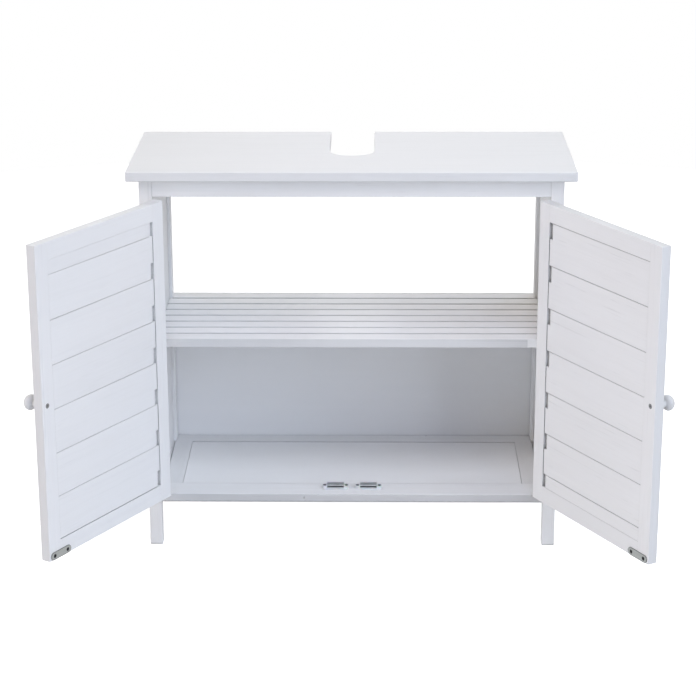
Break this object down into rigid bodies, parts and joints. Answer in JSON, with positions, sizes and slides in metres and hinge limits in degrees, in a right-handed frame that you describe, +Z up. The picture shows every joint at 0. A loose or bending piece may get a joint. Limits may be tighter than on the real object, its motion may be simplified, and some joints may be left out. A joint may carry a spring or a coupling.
{
  "type": "vanity base cabinet",
  "caption": "Low white wooden base cabinet for under a washbasin: pipe slot in the top, open bay with a slatted shelf, and a lower compartment behind louvred doors on butt hinges.",
  "frame": {"origin": "on the floor, on the cabinet's centre line, in the plane of the front posts' faces, which is the middle of the bounding box with the doors open", "axes": "+X to the right across the cabinet's width, +Y to the back, +Z up out of the top board"},
  "size_m": [0.8921, 0.5149, 0.586],
  "materials": {
    "painted_wood": "solid softwood under satin white paint, faint straight grain telegraphing through",
    "painted_door_wood": "solid softwood under satin white paint, faint straight grain along each stile and rail",
    "painted_louvre_wood": "thin solid boards under satin white paint, grain runs along the board",
    "painted_knob_wood": "turned wood under satin white paint",
    "painted_board": "thin fibre board, smooth white paint on both faces",
    "dowel_wood": "bare beech dowel, hidden in the joints",
    "hinge_steel": "zinc-plated sheet steel, satin",
    "plate_steel": "zinc-plated sheet steel, satin",
    "dark_screw_steel": "dark zinc-plated small screws",
    "nail_steel": "small steel nails, heads flush",
    "catch_plastic": "moulded white plastic",
    "magnet_ferrite": "dark grey ferrite magnet, matte"
  },
  "bodies": {
    "carcass": {"back_panel": "painted_board", "bottom_front_rail": "painted_wood", "bottom_inset_panel": "painted_board", "bottom_left_rail": "painted_wood", "bottom_rear_rail": "painted_wood", "bottom_right_rail": "painted_wood", "carcass_screws": "dark_screw_steel", "catch_magnets": "magnet_ferrite", "catch_pole_plates": "plate_steel", "frame_dowels": "dowel_wood", "front_apron": "painted_wood", "front_left_post": "painted_wood", "front_right_post": "painted_wood", "hinge_leaves_on_posts": "hinge_steel", "hinge_pins": "hinge_steel", "left_catch_housing": "catch_plastic", "left_side_panel": "painted_wood", "panel_nails": "nail_steel", "rear_left_post": "painted_wood", "rear_right_post": "painted_wood", "right_catch_housing": "catch_plastic", "right_side_panel": "painted_wood", "shelf_front_rail": "painted_wood", "shelf_left_bearer": "painted_wood", "shelf_middle_bearer": "painted_wood", "shelf_right_bearer": "painted_wood", "shelf_slats": "painted_wood", "top_board": "painted_wood"},
    "left_door": {"left_door_bottom_rail": "painted_door_wood", "left_door_free_stile": "painted_door_wood", "left_door_hinge_leaves": "hinge_steel", "left_door_hinge_stile": "painted_door_wood", "left_door_knob": "painted_knob_wood", "left_door_knob_screw": "dark_screw_steel", "left_door_louvre_1": "painted_louvre_wood", "left_door_louvre_2": "painted_louvre_wood", "left_door_louvre_3": "painted_louvre_wood", "left_door_louvre_4": "painted_louvre_wood", "left_door_louvre_5": "painted_louvre_wood", "left_door_louvre_6": "painted_louvre_wood", "left_door_louvre_7": "painted_louvre_wood", "left_door_screws": "dark_screw_steel", "left_door_strike_plate": "plate_steel", "left_door_top_rail": "painted_door_wood"},
    "right_door": {"right_door_bottom_rail": "painted_door_wood", "right_door_free_stile": "painted_door_wood", "right_door_hinge_leaves": "hinge_steel", "right_door_hinge_stile": "painted_door_wood", "right_door_knob": "painted_knob_wood", "right_door_knob_screw": "dark_screw_steel", "right_door_louvre_1": "painted_louvre_wood", "right_door_louvre_2": "painted_louvre_wood", "right_door_louvre_3": "painted_louvre_wood", "right_door_louvre_4": "painted_louvre_wood", "right_door_louvre_5": "painted_louvre_wood", "right_door_louvre_6": "painted_louvre_wood", "right_door_louvre_7": "painted_louvre_wood", "right_door_screws": "dark_screw_steel", "right_door_strike_plate": "plate_steel", "right_door_top_rail": "painted_door_wood"}
  },
  "joints": [
    {"name": "left_door_hinge", "type": "hinge", "parent": "carcass", "child": "left_door", "pos_m": [-0.2875, -0.0027, 0.31425], "axis": [0, 0, 1], "range_deg": [-49, 120.9]},
    {"name": "right_door_hinge", "type": "hinge", "parent": "carcass", "child": "right_door", "pos_m": [0.2875, -0.0027, 0.31425], "axis": [0, 0, -1], "range_deg": [-50, 120]}
  ]
}
